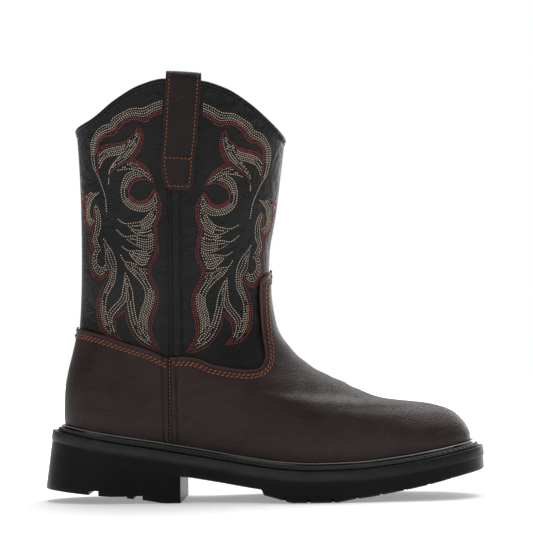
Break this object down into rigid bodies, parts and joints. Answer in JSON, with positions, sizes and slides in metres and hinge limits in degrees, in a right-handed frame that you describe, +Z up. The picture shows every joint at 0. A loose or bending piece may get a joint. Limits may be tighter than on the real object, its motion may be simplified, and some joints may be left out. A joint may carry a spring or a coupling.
{
  "type": "western work boot",
  "caption": "Right-foot western pull-on work boot with a stitched shaft, scalloped collar, side pull straps, storm welt and lugged rubber sole.",
  "frame": {"origin": "centre of the boot's bounding box in plan, on the floor that the sole stands on", "axes": "+X towards the toe, +Z up, -Y towards the outer side of this right boot"},
  "size_m": [0.3077, 0.1124, 0.2946],
  "materials": {
    "shaft_leather": "matte, fine grain",
    "brown_leather": "oiled, pebbled",
    "sole_rubber": "satin",
    "insole_board": "matte",
    "thread": "waxed"
  },
  "bodies": {
    "root": {"upper": "shaft_leather", "vamp": "brown_leather", "counter": "brown_leather", "side_piping_outer": "shaft_leather", "side_piping_inner": "shaft_leather", "pull_strap_outer": "brown_leather", "pull_strap_inner": "brown_leather", "welt": "sole_rubber", "insole": "insole_board", "outsole": "sole_rubber", "heel": "sole_rubber"}
  },
  "joints": []
}
